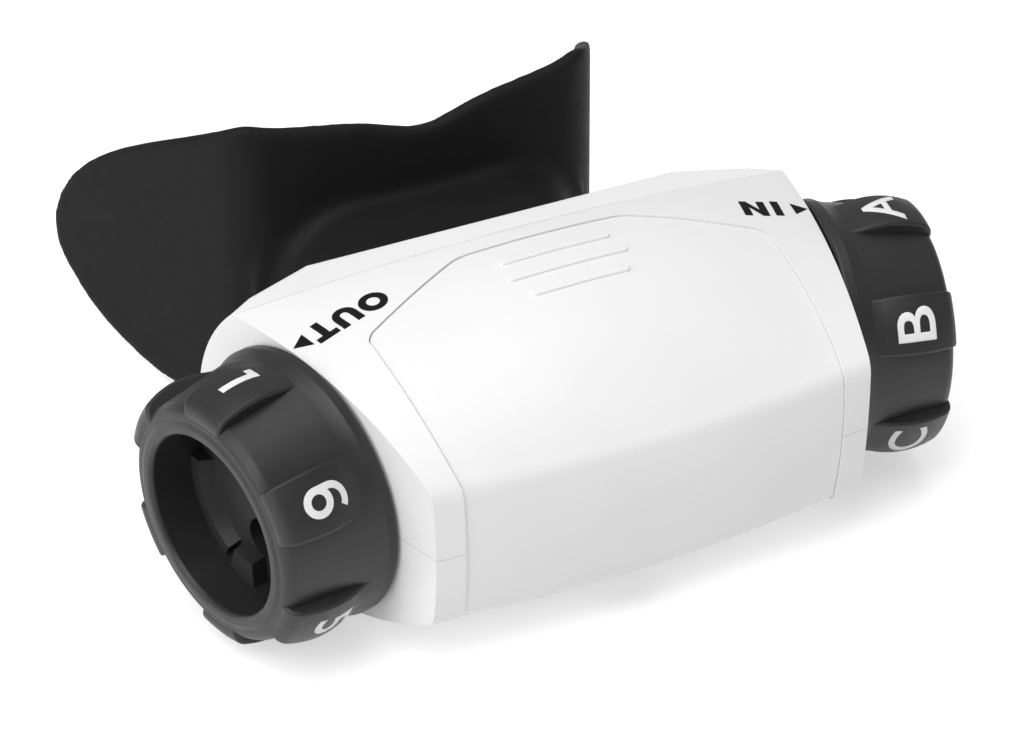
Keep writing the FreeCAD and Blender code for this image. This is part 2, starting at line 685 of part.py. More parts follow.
def mouthpiece():
    """One silicone moulding: collar, lip flange and bite tabs round the airway."""
    collar = stadium(COLLAR_HALF_W, COLLAR_HALF_H, COLLAR_START, FLANGE_Y + COLLAR_DEPTH)
    body = fuse([flange(), collar, bite_tab(-1), bite_tab(1)])
    socket_end = NOZZLE_END + NOZZLE_ROOM
    socket = stadium(NOZZLE_HALF_W + FIT_SOFT, NOZZLE_HALF_H + FIT_SOFT, COLLAR_START, socket_end)
    airway = stadium(NOZZLE_HALF_W - DUCT_WALL, NOZZLE_HALF_H - DUCT_WALL, COLLAR_START, FLANGE_TIP[1])
    return body.cut([socket, airway])


def unit_form():
    """Electronics unit's outside, cut to its region and clear of the housing's core."""
    skin = rounded_blank(UNIT_SUNK).common(unit_region(SEAM))
    far = 2 * BODY_REACH
    skin = skin.cut(box((-far, far), (-far, far), (-far, -REST_DROP)))
    return skin.cut(core(UNIT_DEPTH - UNIT_GAP, UNIT_BACK - UNIT_GAP))


def unit_hollow(inset, y_low, y_high):
    """Space inside the unit's front, between two depths."""
    half_w = UNIT_HALF_W - SEAM - inset
    room = box((-half_w, half_w), (y_low, y_high), (-REST_DROP, REST_DROP))
    return blank(inset).common(room)


def grip_ridge(y, half_length):
    """Raised bar across the unit's top, rounded in plan, that follows the skin."""
    low = roof_height(y) - 1.0
    bar = slot_prism(half_length + RIDGE_HALF_W, RIDGE_HALF_W, y, low, REST_DROP + RIDGE_PROUD + 2.0)
    bar = bar.common(blank(UNIT_SUNK - RIDGE_PROUD))
    top = edges_where(bar, lambda e: e.CenterOfMass.z > low + 0.6 and e.BoundBox.ZLength < 0.6)
    return bar.makeFillet(RIDGE_EDGE_R, top)


def roof_height(y):
    """Height of the body form over the middle at one depth."""
    line = Part.makeLine(V(0, y, 0), V(0, y, 2 * REST_DROP))
    return BLANK.common(line).BoundBox.ZMax


def slot_prism(half_w, r, y, low, high):
    """Upright prism with round ends, about one depth."""
    wire = outline([(-half_w + r, y + r), (half_w - r, y + r), (half_w, y, "arc"),
                    (half_w - r, y - r), (-half_w + r, y - r), (-half_w, y, "arc")],
                   lambda x, y: V(x, y, low))
    return Part.Face(wire).extrude(V(0, 0, high - low))


def button_outline(grow, low, high):
    return slot_prism(BUTTON_HALF_W + grow, BUTTON_R + grow, BUTTON_Y, low, high)


def e_unit_cover():
    """White cover that wraps over the front, with its hollow, its ribs and its openings."""
    cover = fuse([unit_form()] + [grip_ridge(y, half) for y, half in RIDGES])
    cover = cover.cut(unit_hollow(UNIT_WALL, -REST_DROP * 2, UNIT_BACK))
    front = board_back() - BOARD[1]
    posts = [rod(UNIT_POST_R, front - REST_DROP, front, x) for x in UNIT_POSTS]
    cover = cover.fuse([post.common(blank(UNIT_WALL / 2)) for post in posts])
    pilots = [rod(UNIT_SCREW_R + PILOT_CLEAR, front - PILOT_DEPTH, front, x) for x in UNIT_POSTS]
    light = cyl(LIGHT_R + RUN_CLEAR, -REST_DROP, LIGHT_TOP, LIGHT_X, BUTTON_Y)
    return cover.cut([button_outline(BUTTON_CLEAR, -REST_DROP, 0.0), light] + pilots)


def e_unit_base():
    """Back plate of the unit, with its standoffs and its way through for the sensor and the socket."""
    back = UNIT_BACK - UNIT_GAP
    low = back - UNIT_WALL
    plate = unit_hollow(UNIT_WALL + RUN_CLEAR, low, back)
    plate = plate.fuse([rod(STANDOFF_R, board_back(), low, x) for x in UNIT_POSTS])
    sensor = rod(SENSOR_R + RUN_CLEAR, low, back, SENSOR_X)
    w, h = SOCKET[0] / 2 + SOCKET_CLEAR, SOCKET[1] / 2 + SOCKET_CLEAR
    socket = box((SOCKET_X - w, SOCKET_X + w), (low, back), (-h, h))
    ways = [rod(UNIT_SCREW_R + RUN_CLEAR, board_back(), back, x) for x in UNIT_POSTS]
    heads = [rod(UNIT_SCREW_HEAD_R + HEAD_CLEAR, back - UNIT_SCREW_SEAT, back, x) for x in UNIT_POSTS]
    return plate.cut([sensor, socket] + ways + heads)


def board_back():
    return UNIT_BACK - UNIT_GAP - UNIT_WALL - BOARD_STANDOFF


def circuit_board():
    """Board with two chips on its front and its screw holes."""
    w, t, h = BOARD
    back = board_back()
    chip_w, chip_t, chip_h = CHIP
    board = box((-w / 2, w / 2), (back - t, back), (-h / 2, h / 2))
    chips = [box((x - chip_w / 2, x + chip_w / 2), (back - t - chip_t, back - t), (-chip_h / 2, chip_h / 2))
             for x in CHIPS_X]
    holes = [rod(UNIT_SCREW_R + RUN_CLEAR, back - t - chip_t, back, x) for x in UNIT_POSTS]
    return fuse([board] + chips).cut(holes)


def battery():
    w, t, h = CELL
    back = board_back() - BOARD[1] - CELL_GAP
    cell = box((-w / 2, w / 2), (back - t, back), (-h / 2 + CELL_RAISE, h / 2 + CELL_RAISE))
    return cell.makeFillet(CELL_EDGE_R, edges_where(cell, lambda e: e.BoundBox.XLength > 1))


def pressure_sensor():
    """Sensor on the board's back, with its nipple through the base."""
    half, t = SENSOR_BODY
    face = board_back() + t
    body = box((SENSOR_X - half, SENSOR_X + half), (board_back(), face), (-half, half))
    nipple = rod(SENSOR_R, face, UNIT_BACK - UNIT_GAP, SENSOR_X)
    return body.fuse(nipple).cut(rod(SENSE_BORE_R, face, UNIT_BACK - UNIT_GAP, SENSOR_X))


def sensor_seal():
    """Soft washer in the core's recess, between the sensor's way and the duct's tap."""
    start, end = UNIT_BACK - UNIT_GAP + FIT_SOFT, UNIT_BACK + SENSE_RECESS
    washer = rod(SENSE_R + SEAL_LIP - FIT_SOFT, start, end, SENSOR_X)
    return washer.cut(rod(SENSE_BORE_R, start, end, SENSOR_X))


def power_button():
    """Button that follows the skin under the unit, with a rim that keeps it in."""
    stem = button_outline(0.0, -REST_DROP, BUTTON_SEAT_Z).common(rounded_blank(UNIT_SUNK))
    return stem.fuse(button_outline(BUTTON_RIM, BUTTON_SEAT_Z, BUTTON_SEAT_Z + BUTTON_RIM_T))


def button_switch():
    half_w, depth, height = SWITCH
    front = board_back() - BOARD[1]
    low = BUTTON_SEAT_Z + BUTTON_RIM_T + BUTTON_TRAVEL + SWITCH_GAP
    return box((-half_w, half_w), (front - depth, front), (low, low + height))


def charging_socket():
    """Shell and tongue of the charging socket, open to the back."""
    w, h = SOCKET
    wall = SOCKET_WALL
    y = (board_back(), UNIT_BACK - UNIT_GAP - SOCKET_CLEAR)
    x = (SOCKET_X - w / 2, SOCKET_X + w / 2)
    hollow = box((x[0] + wall, x[1] - wall), (y[0] + 1.5 * wall, y[1]), (-h / 2 + wall, h / 2 - wall))
    tongue = box((x[0] + 3 * wall, x[1] - 3 * wall), (y[0] + wall, y[1] - wall),
                 (-TONGUE_HALF_T, TONGUE_HALF_T))
    return box(x, y, (-h / 2, h / 2)).cut(hollow).fuse(tongue)


def light_pipe():
    pipe = cyl(LIGHT_R, -REST_DROP, LIGHT_TOP + LIGHT_PROUD, LIGHT_X, BUTTON_Y)
    return pipe.common(rounded_blank(UNIT_SUNK))


def unit_screws():
    """Two screws through the base and the board into the cover's posts."""
    back = UNIT_BACK - UNIT_GAP
    seat = back - UNIT_SCREW_SEAT
    screws = []
    for x in UNIT_POSTS:
        head = rod(UNIT_SCREW_HEAD_R, seat, seat + UNIT_SCREW_HEAD_T, x)
        shank = rod(UNIT_SCREW_R, seat - UNIT_SCREW_LENGTH, seat, x)
        slot = box((x - UNIT_SLOT_HALF_L, x + UNIT_SLOT_HALF_L), (back - 2 * UNIT_SLOT_HALF_W, back),
                   (-UNIT_SLOT_HALF_W, UNIT_SLOT_HALF_W))
        screws.append(head.fuse(shank).cut(slot))
    return Part.makeCompound(screws)


def export(name, shape):
    lifted = shape.copy()
    lifted.translate(V(0, 0, REST_DROP))
    lifted.exportStep("parts/" + name + ".step")
    print(name, lifted.isValid(), len(lifted.Solids), round(lifted.Volume, 1))


os.makedirs("parts", exist_ok=True)
BLANK = blank()
whole = housing()
export("upper_housing", shell(whole, True))
export("lower_housing", shell(whole, False))
export("shell_screws", shell_screws())
export("airway_duct", airway_duct())
export("mouthpiece", mouthpiece())
export("e_unit_cover", e_unit_cover())
export("e_unit_base", e_unit_base())
export("circuit_board", circuit_board())
export("battery", battery())
export("pressure_sensor", pressure_sensor())
export("sensor_seal", sensor_seal())
export("power_button", power_button())
export("button_switch", button_switch())
export("charging_socket", charging_socket())
export("light_pipe", light_pipe())
export("unit_screws", unit_screws())
side_parts = {
    "dial": dial(),
    "orifice_disc": orifice_disc(),
    "port_barrel": port_barrel(),
    "port_plate": port_plate(),
    "seal_ring": seal_ring(),
    "retaining_ring": retaining_ring(),
    "detent_spring": detent_spring(),
    "valve_seat": valve_seat(),
}
for name, shape in side_parts.items():
    export("in_" + name, placed(shape))
    export("out_" + name, mirrored(placed(shape)))
export("in_valve_flap", placed(valve_flap(VALVE_S - FLAP_GAP - FLAP_T)))
export("out_valve_flap", mirrored(placed(valve_flap(VALVE_S + SEAT_T + FLAP_GAP))))
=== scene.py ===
import json
import math

import bpy
from mathutils import Matrix, Vector

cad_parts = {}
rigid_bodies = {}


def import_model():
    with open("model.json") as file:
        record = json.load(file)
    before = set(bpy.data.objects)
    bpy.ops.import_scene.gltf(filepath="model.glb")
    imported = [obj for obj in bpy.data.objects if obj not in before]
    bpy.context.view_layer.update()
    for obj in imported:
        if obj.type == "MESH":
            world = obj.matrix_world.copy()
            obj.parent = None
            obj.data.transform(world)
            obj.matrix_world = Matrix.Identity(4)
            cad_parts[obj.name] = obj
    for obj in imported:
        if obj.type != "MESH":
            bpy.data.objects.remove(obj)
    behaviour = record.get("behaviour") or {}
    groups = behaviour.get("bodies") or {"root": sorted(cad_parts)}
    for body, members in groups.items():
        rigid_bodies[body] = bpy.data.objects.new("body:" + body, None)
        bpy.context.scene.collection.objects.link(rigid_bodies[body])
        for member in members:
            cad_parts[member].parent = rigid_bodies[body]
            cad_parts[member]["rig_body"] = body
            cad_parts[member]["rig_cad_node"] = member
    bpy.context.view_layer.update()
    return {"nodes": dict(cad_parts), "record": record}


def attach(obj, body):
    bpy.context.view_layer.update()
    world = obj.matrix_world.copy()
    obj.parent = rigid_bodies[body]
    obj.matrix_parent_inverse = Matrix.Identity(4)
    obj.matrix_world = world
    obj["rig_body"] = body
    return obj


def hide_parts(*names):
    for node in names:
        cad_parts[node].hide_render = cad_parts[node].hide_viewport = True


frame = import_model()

MM = 0.001

# Camera
LENS = 91.05                     # focal length in millimetres on a sensor 36 mm wide
CAMERA_PLACE = (-0.12065, -0.22154, 0.1793)
CAMERA_RIGHT = (0.88749, -0.46071, -0.01036)
CAMERA_UP = (0.25284, 0.46803, 0.84677)

# Housing and dials
REST_DROP = 17.3 * MM            # height of the parting plane, which both dial axes lie in
RIM_X = 33.9 * MM                # centre of each dial's rim
TILT = math.radians(14.8)        # how far each dial axis leans forward
LINE_HALF_W = 0.08 * MM          # half width of the line where the shells meet

# Labels on the dials
LABEL_S = 7.05 * MM              # middle of a label, outward of the rim
LABEL_RADIUS = 19.0 * MM         # where a label starts, before it is laid down onto its pad
LABEL_SIZES = {"out_dial": (4.8 * MM, 1.12), "in_dial": (4.65 * MM, 1.25)}   # height, and stretch across
LABEL_WEIGHT = 0.012             # how much the strokes of a label are fattened, as a share of its height
PRINT_THICK = 0.1 * MM
PRINT_CELL = 0.6 * MM            # print is cut twice in each such length, so that it follows the surface
ONE_HEIGHT = 4.9 * MM
ONE_STEM = 0.9 * MM              # thickness of the 1's stem
ONE_FLAG = (1.0 * MM, 0.85 * MM, 0.95 * MM)          # reach of its flag, its depth at tip and root
ONE_LEFT = -0.6 * MM             # left side of the stem from the label's middle
SIX_BOWL = (1.72 * MM, 0.88 * MM)                    # outer and inner radius of the 6's bowl
SIX_TAIL = (2.05 * MM, 1.25 * MM, 52.0)              # both radii of its tail, and the angle where it ends
SIX_TAIL_UP = (0.33 * MM, 1.58 * MM)                 # the tail's middle from the bowl's middle

# Words and arrows on the housing
WORD_HEIGHT = 3.15 * MM
WORD_STROKE = 0.94 * MM
WORD_BAR = 0.8 * MM              # thickness of the strokes that lie across
WORDS_Z = 40.0 * MM              # height that a letter starts from, before it is laid down
WORD_LETTERS = {                 # letter, its width and its middle on the housing's top
    -1: (("O", 3.45, (-22.26, 4.49)), ("U", 2.95, (-25.85, 3.8)), ("T", 2.8, (-29.07, 3.08))),
    1: (("N", 3.05, (26.6, 3.7)), ("I", 0.98, (29.4, 3.15)))}
ARROWS = {-1: ((-30.95, 2.65), (-32.9, 2.17)), 1: ((31.4, 2.72), (33.2, 2.38))}   # base and tip
ARROW_HALF_W = 1.16 * MM

# Mouthpiece
COLLAR_HALF_W = 20.0 * MM
COLLAR_HALF_H = 10.6 * MM
COLLAR_MEETS_LIP = 38.4 * MM     # where the fillet ends, just inside the lip flange
FILLET_R = 3.6 * MM
FILLET_ROOT = 1.0 * MM           # how far the fillet reaches into the collar's wall
FILLET_STEPS = 8
FILLET_CORNERS = 96              # corners round the fillet
FILLET_SUNK = 0.1 * MM           # the fillet starts this deep under the collar's skin
FILLET_PAST = 0.3 * MM           # and runs this far into the flange
VOXEL = 0.28 * MM
SOFTEN_PASSES = 70
SWELL = 0.14 * MM                # gives back what softening takes off the rim
TRIANGLES_KEPT = 0.5

# Studio
SKY = 0.42                       # strength of the even white light from all round
LAMPS = (                        # name, place, width and power of each round soft lamp
    ("key", (-0.35, -0.25, 0.75), 0.5, 2.6),
    ("overhead", (0.0, 0.05, 0.8), 0.6, 1.6),
    ("left", (-0.6, -0.1, 0.3), 0.5, 1.8))
LAMPS_AIM = (0.0, 0.02, 0.02)
FLOOR_SIZE = 6.0
FLOOR_LIFT = 0.5                 # what the floor gives off where the camera or a reflection sees it

nodes = frame["nodes"]


# Camera at the photograph's angle

def make_camera():
    data = bpy.data.cameras.new("camera")
    data.sensor_width = 36.0
    data.lens = LENS
    data.clip_start = 0.01
    camera = bpy.data.objects.new("camera", data)
    right = Vector(CAMERA_RIGHT)
    up = Vector(CAMERA_UP)
    turn = Matrix((right, up, right.cross(up))).transposed()
    camera.matrix_world = Matrix.Translation(CAMERA_PLACE) @ turn.to_4x4()
    bpy.context.scene.collection.objects.link(camera)
    bpy.context.scene.camera = camera


# Shader maths on wrapped sockets

class Wire:
    """One output socket of a node tree; arithmetic on it adds Math nodes."""

    def __init__(self, tree, socket):
        self.tree = tree
        self.socket = socket

    def maths(self, operation, a, b=None):
        inputs = [a] if b is None else [a, b]
        return self.tree.add("ShaderNodeMath", {"operation": operation}, dict(enumerate(inputs)))

    def __add__(self, other):
        return self.maths("ADD", self, other)

    def __radd__(self, other):
        return self.maths("ADD", other, self)

    def __sub__(self, other):
        return self.maths("SUBTRACT", self, other)

    def __rsub__(self, other):
        return self.maths("SUBTRACT", other, self)

    def __mul__(self, other):
        return self.maths("MULTIPLY", self, other)

    def __rmul__(self, other):
        return self.maths("MULTIPLY", other, self)

    def __gt__(self, other):
        return self.maths("GREATER_THAN", self, other)


class Finish:
    """A material under construction: its node tree and its one Principled shader."""

    def __init__(self, name, **constants):
        self.material = bpy.data.materials.new(name)
        self.material.use_nodes = True
        self.nodes = self.material.node_tree.nodes
        self.links = self.material.node_tree.links
        self.shader = self.nodes["Principled BSDF"]
        for socket, value in constants.items():
            self.set(socket.replace("_", " "), value)
        self.place = self.add("ShaderNodeTexCoord", {}, {}, "Object")

    def add(self, kind, settings, inputs, output=0):
        """Adds a node: its settings first, then the values or wires of its sockets."""
        node = self.nodes.new(kind)
        for name, value in settings.items():
            if name == "stops":
                while len(node.color_ramp.elements) < len(value):
                    node.color_ramp.elements.new(0.5)
                for element, (position, color) in zip(node.color_ramp.elements, value):
                    element.position = position
                    element.color = (*color, 1.0)
            else:
                setattr(node, name, value)
        for name, value in inputs.items():
            self.join(value, node.inputs[name])
        return Wire(self, node.outputs[output])

    def join(self, value, socket):
        if isinstance(value, Wire):
            self.links.new(value.socket, socket)
        else:
            socket.default_value = value

    def set(self, name, value):
        self.join(value, self.shader.inputs[name])

    def maths(self, operation, value):
        return self.add("ShaderNodeMath", {"operation": operation}, {0: value})

    def noise(self, per_mm, detail=3.0, roughness=0.5, place=None):
        """Noise on the piece's own coordinates, with so many lumps to a millimetre."""
        return self.add("ShaderNodeTexNoise", {}, {
            "Vector": place or self.place, "Scale": per_mm / MM, "Detail": detail, "Roughness": roughness})

    def spread(self, value, low, high, from_low=0.3, from_high=0.7):
        """Carries a value from one range into another."""
        return self.add("ShaderNodeMapRange", {}, {
            "Value": value, "From Min": from_low, "From Max": from_high, "To Min": low, "To Max": high})

    def tint(self, share, color_a, color_b):
        """Mixes two colours by a share that varies over the surface."""
        return self.add("ShaderNodeMix", {"data_type": "RGBA"}, {
            0: share, 6: (*color_a, 1.0), 7: (*color_b, 1.0)}, 2)

    def bump(self, height, depth_mm, strength=1.0):
        self.set("Normal", self.add("ShaderNodeBump", {}, {
            "Height": height, "Distance": depth_mm * MM, "Strength": strength}))


def grey(level, blue=1.0):
    return (level, level, level * blue)


def moulded(name, light, dark, rough, grain_mm, grain_depth, shine=0.5):
    """Injection-moulded plastic: fine spark-eroded grain, faint flow clouds, uneven polish."""
    finish = Finish(name, Specular_IOR_Level=shine)
    clouds = finish.noise(0.06, detail=2.0)
    finish.set("Base Color", finish.tint(finish.spread(clouds, 0.0, 1.0), dark, light))
    wipe = finish.noise(0.35, detail=4.0)
    finish.set("Roughness", finish.spread(wipe, rough - 0.05, rough + 0.05))
    grain = finish.noise(1.0 / grain_mm, detail=2.0)
    finish.bump(grain, grain_depth)
    return finish.material


def parted_shell(name, light, dark, rough, grain_mm, grain_depth):
    """Moulded shell with the fine witness line where its two halves meet."""
    finish = Finish(name)
    height = finish.add("ShaderNodeSeparateXYZ", {}, {0: finish.place}, 2)
    line = finish.spread(finish.maths("ABSOLUTE", height - REST_DROP), 1.0, 0.0, LINE_HALF_W / 2, LINE_HALF_W)
    clouds = finish.spread(finish.noise(0.06, detail=2.0), 0.0, 1.0)
    plain = finish.tint(clouds, dark, light)
    finish.set("Base Color", finish.add("ShaderNodeMix", {"data_type": "RGBA"}, {
        0: line * 0.5, 6: plain, 7: (*grey(0.5), 1.0)}, 2))
    finish.set("Roughness", finish.spread(finish.noise(0.35, detail=4.0), rough - 0.05, rough + 0.05))
    finish.bump(finish.noise(1.0 / grain_mm, detail=2.0) - line * 6.0, grain_depth)
    return finish.material


def silicone(name, light, dark, rough):
    """Soft moulded rubber: dull bloom in clouds, fine pores and the odd speck of dust."""
    finish = Finish(name, Specular_IOR_Level=0.11)
    bloom = finish.noise(0.09, detail=5.0, roughness=0.6)
    dust = finish.noise(2.6, detail=1.0) > 0.78
    share = finish.spread(bloom, 0.0, 1.0) + dust * 0.3
    finish.set("Base Color", finish.tint(share, dark, light))
    finish.set("Roughness", finish.spread(finish.noise(0.5), rough - 0.04, rough + 0.05))
    finish.bump(finish.noise(3.2, detail=2.0), 0.004)
    return finish.material


def spun_steel(name):
    """Plated steel with fine turning marks."""
    finish = Finish(name, Metallic=1.0)
    marks = finish.add("ShaderNodeTexWave", {"wave_type": "RINGS", "rings_direction": "SPHERICAL"}, {
        "Vector": finish.place, "Scale": 3.0 / MM, "Distortion": 2.0, "Detail": 2.0})
    finish.set("Base Color", finish.tint(marks, grey(0.5), grey(0.68)))
    finish.set("Roughness", finish.spread(finish.noise(1.5), 0.22, 0.38))
    finish.bump(marks, 0.01)
    return finish.material


def solder_mask(name):
    """Green board with faint copper tracks under its lacquer."""
    finish = Finish(name, Specular_IOR_Level=0.5, Coat_Weight=0.3)
    tracks = finish.add("ShaderNodeTexBrick", {}, {
        "Vector": finish.place, "Scale": 0.6 / MM, "Mortar Size": 0.03,
        "Color1": (0, 0, 0, 1), "Color2": (0, 0, 0, 1), "Mortar": (1, 1, 1, 1)})
    finish.set("Base Color", finish.tint(tracks, (0.02, 0.13, 0.05), (0.06, 0.26, 0.11)))
    finish.set("Roughness", finish.spread(finish.noise(0.8), 0.25, 0.4))
    finish.bump(tracks, 0.03)
    return finish.material


def cell_foil(name):
    """Laminated foil of a pouch cell, slightly crinkled."""
    finish = Finish(name, Metallic=0.75)
    crinkle = finish.noise(0.5, detail=4.0)
    finish.set("Base Color", finish.tint(finish.spread(crinkle, 0.0, 1.0), grey(0.45), grey(0.62, 1.02)))
    finish.set("Roughness", finish.spread(finish.noise(0.25), 0.3, 0.45))
    finish.bump(crinkle, 0.08)
    return finish.material


def clear_pipe(name):
    """Clear acrylic with a frosted skin."""
    finish = Finish(name, Transmission_Weight=0.85, IOR=1.49)
    frost = finish.noise(1.2)
    finish.set("Base Color", finish.tint(frost, (0.86, 0.9, 0.92), (0.95, 0.97, 0.98)))
    finish.set("Roughness", finish.spread(frost, 0.15, 0.35))
    return finish.material


def printed_ink(name, light, dark, shine=0.35):
    """Pad-printed ink: nearly even, with a fine tooth."""
    finish = Finish(name, Specular_IOR_Level=shine)
    tooth = finish.noise(2.0, detail=2.0)
    finish.set("Base Color", finish.tint(finish.spread(tooth, 0.0, 1.0), dark, light))
    finish.set("Roughness", finish.spread(finish.noise(0.7), 0.45, 0.6))
    finish.bump(tooth, 0.006)
    return finish.material


def make_finishes():
    return {
        "white_shell": moulded("white_shell_satin", grey(0.84), grey(0.815), 0.36, 0.16, 0.004),
        "white_halves": parted_shell("white_halves_satin", grey(0.84), grey(0.815), 0.36, 0.16, 0.004),
        "dial_black": moulded("dial_black_satin", grey(0.021), grey(0.0175), 0.42, 0.14, 0.006, 0.42),
        "inner_black": moulded("inner_black_matt", grey(0.022), grey(0.017), 0.5, 0.2, 0.008),
        "silicone_black": silicone("silicone_black_matt", grey(0.0122), grey(0.0108), 0.56),
        "duct_grey": moulded("duct_grey_satin", grey(0.5), grey(0.46), 0.4, 0.2, 0.006),
        "seal_silicone": silicone("seal_silicone_pale", grey(0.6, 0.96), grey(0.54, 0.96), 0.5),
        "steel": spun_steel("spring_and_screw_steel"),
        "board_green": solder_mask("board_lacquer"),
        "cell_wrap": cell_foil("cell_foil"),
        "chip_black": moulded("chip_black_matt", grey(0.03), grey(0.022), 0.6, 0.1, 0.01),
        "clear_pipe": clear_pipe("clear_pipe"),
        "label_ink": printed_ink("label_ink_white", grey(0.83), grey(0.79)),
        "word_ink": printed_ink("word_ink_black", grey(0.006), grey(0.004), 0.15),
    }


def dress_nodes(finishes):
    """Gives every carried-over solid the finish of its slot in the record; the two housing halves get the
    shell finish with the line where they meet.
    """
    slots = {part["node"]: part["material_slot"] for part in frame["record"]["subparts"]}
    for name, node in nodes.items():
        kind = "white_halves" if name.endswith("_housing") else slots[name]
        node.data.materials.clear()
        node.data.materials.append(finishes[kind])


# Tools for pieces made by hand

def only(piece):
    """Makes one object the selected and active one."""
    bpy.ops.object.select_all(action="DESELECT")
    piece.select_set(True)
    bpy.context.view_layer.objects.active = piece


def apply_modifier(piece, kind, **settings):
    only(piece)
    modifier = piece.modifiers.new(kind.lower(), kind)
    for name, value in settings.items():
        setattr(modifier, name, value)
    bpy.ops.object.modifier_apply(modifier=modifier.name)


def join(pieces):
    """Joins pieces into the first one."""
    bpy.ops.object.select_all(action="DESELECT")
    for piece in pieces:
        piece.select_set(True)
    bpy.context.view_layer.objects.active = pieces[0]
    bpy.ops.object.join()
    return pieces[0]


def settle(piece):
    """Moves a piece's place into its mesh, so that its object sits at the origin."""
    only(piece)
    bpy.ops.object.transform_apply(location=True, rotation=True, scale=True)


def frame_of(right, up, origin):
    """Placement with X along right, Y along up and Z out of the printed side."""
    out = right.cross(up)
    return Matrix.Translation(origin) @ Matrix((right, up, out)).transposed().to_4x4()


# Printing

def grid_cut(piece, width, height, cell):
    """Cuts a flat mesh along a square grid, so that it can follow a curved surface."""
    only(piece)
    bpy.ops.object.mode_set(mode="EDIT")
    for axis, reach in ((0, width), (1, height)):
        steps = int(reach / cell) + 1
        normal = [0.0, 0.0, 0.0]
        normal[axis] = 1.0
        for i in range(-steps, steps + 1):
            place = [0.0, 0.0, 0.0]
            place[axis] = i * cell / 2
            bpy.ops.mesh.select_all(action="SELECT")
            bpy.ops.mesh.bisect(plane_co=place, plane_no=normal)
    bpy.ops.object.mode_set(mode="OBJECT")


def flat_text(name, text, height, stretch, weight):
    """Flat lettering as a mesh, centred on its own middle, with capitals of the given height."""
    curve = bpy.data.curves.new(name, "FONT")
    curve.body = text
    curve.align_x = "LEFT"
    curve.offset = weight
    curve.resolution_u = 8
    letters = curve_to_mesh(name, curve)
    corners = [v.co for v in letters.data.vertices]
    low = Vector([min(c[i] for c in corners) for i in range(3)])
    high = Vector([max(c[i] for c in corners) for i in range(3)])
    size = height / (high.y - low.y)
    middle = (low + high) / 2
    letters.data.transform(Matrix.Diagonal((size * stretch, size, size, 1.0)) @ Matrix.Translation(-middle))
    merge_doubles(letters)
    return letters


def curve_to_mesh(name, curve):
    flat = bpy.data.objects.new(name, curve)
    bpy.context.scene.collection.objects.link(flat)
    only(flat)
    bpy.ops.object.convert(target="MESH")
    return bpy.context.view_layer.objects.active


def merge_doubles(piece):
    only(piece)
    bpy.ops.object.mode_set(mode="EDIT")
    bpy.ops.mesh.select_all(action="SELECT")
    bpy.ops.mesh.remove_doubles(threshold=0.001 * MM)
    bpy.ops.object.mode_set(mode="OBJECT")


def flat_shape(name, outlines):
    """Flat face inside its closed outlines; an outline inside another one is a hole."""
    curve = bpy.data.curves.new(name, "CURVE")
    curve.dimensions = "2D"
    curve.fill_mode = "BOTH"
    for points in outlines:
        line = curve.splines.new("POLY")
        line.points.add(len(points) - 1)
        for point, (x, y) in zip(line.points, points):
            point.co = (x, y, 0.0, 1.0)
        line.use_cyclic_u = True
    flat = curve_to_mesh(name, curve)
    merge_doubles(flat)
    return flat


def arc(middle, radii, start, end, steps=16):
    """Points along part of an ellipse, between two angles in degrees."""
    points = []
    for i in range(steps + 1):
        turn = math.radians(start + (end - start) * i / steps)
        points.append((middle[0] + radii[0] * math.cos(turn), middle[1] + radii[1] * math.sin(turn)))
    return points


def letter_outlines(letter, width):
    """Outlines of one wide, heavy capital about its middle."""
    a, b, s, bar = width / 2, WORD_HEIGHT / 2, WORD_STROKE, WORD_BAR
    if letter == "O":
        return [arc((0, 0), (a, b), 0, 360, 47), arc((0, 0), (a - s, b - bar), 0, 360, 47)]
    if letter == "U":
        turn = a - 0.1 * s
        outer = arc((0, turn - b), (a, turn), 180, 360)
        inner = arc((0, turn - b), (a - s, turn - bar), 360, 180)
        return [[(-a, b)] + outer + [(a, b), (a - s, b)] + inner + [(s - a, b)]]
    if letter == "T":
        return [[(-a, b), (-a, b - bar), (-s / 2, b - bar), (-s / 2, -b), (s / 2, -b),
                 (s / 2, b - bar), (a, b - bar), (a, b)]]
    if letter == "N":
        drop, flat = 0.8 * b, 0.9 * s
        return [[(-a, -b), (-a, b), (flat - a, b), (a - s, drop - b), (a - s, b), (a, b), (a, -b),
                 (a - flat, -b), (s - a, b - drop), (s - a, -b)]]
    return [[(-a, -b), (-a, b), (a, b), (a, -b)]]


def figure_one():
    """Figure 1 with a short flag and no foot."""
    half, left, right = ONE_HEIGHT / 2, ONE_LEFT, ONE_LEFT + ONE_STEM
    flag, at_tip, at_root = ONE_FLAG
    return flat_shape("one", [[(left, -half), (right, -half), (right, half), (left - flag, half),
                               (left - 0.96 * flag, half - at_tip), (left, half - at_root)]])


def figure_six():
    """Figure 6 with a round bowl and a tail that curls over it."""
    bowl, hole = SIX_BOWL
    outer, inner, end = SIX_TAIL
    drop = (SIX_TAIL_UP[1] + outer - bowl) / 2
    middle = (0.0, -drop)
    tail = (SIX_TAIL_UP[0], SIX_TAIL_UP[1] - drop)
    apart = math.hypot(*SIX_TAIL_UP)
    along = (bowl ** 2 - inner ** 2 + apart ** 2) / (2 * apart)
    lean = math.degrees(math.atan2(SIX_TAIL_UP[1], SIX_TAIL_UP[0]))
    on_bowl = lean + math.degrees(math.acos(along / bowl))
    on_tail = lean + 180 - math.degrees(math.acos((apart - along) / inner))
    outline = arc(tail, (outer, outer), end, 180, 24) + arc(middle, (bowl, bowl), 180, 360 + on_bowl, 40)
    outline += arc(tail, (inner, inner), on_tail, end, 24)
    return flat_shape("six", [outline, arc(middle, (hole, hole), 0, 360, 47)])


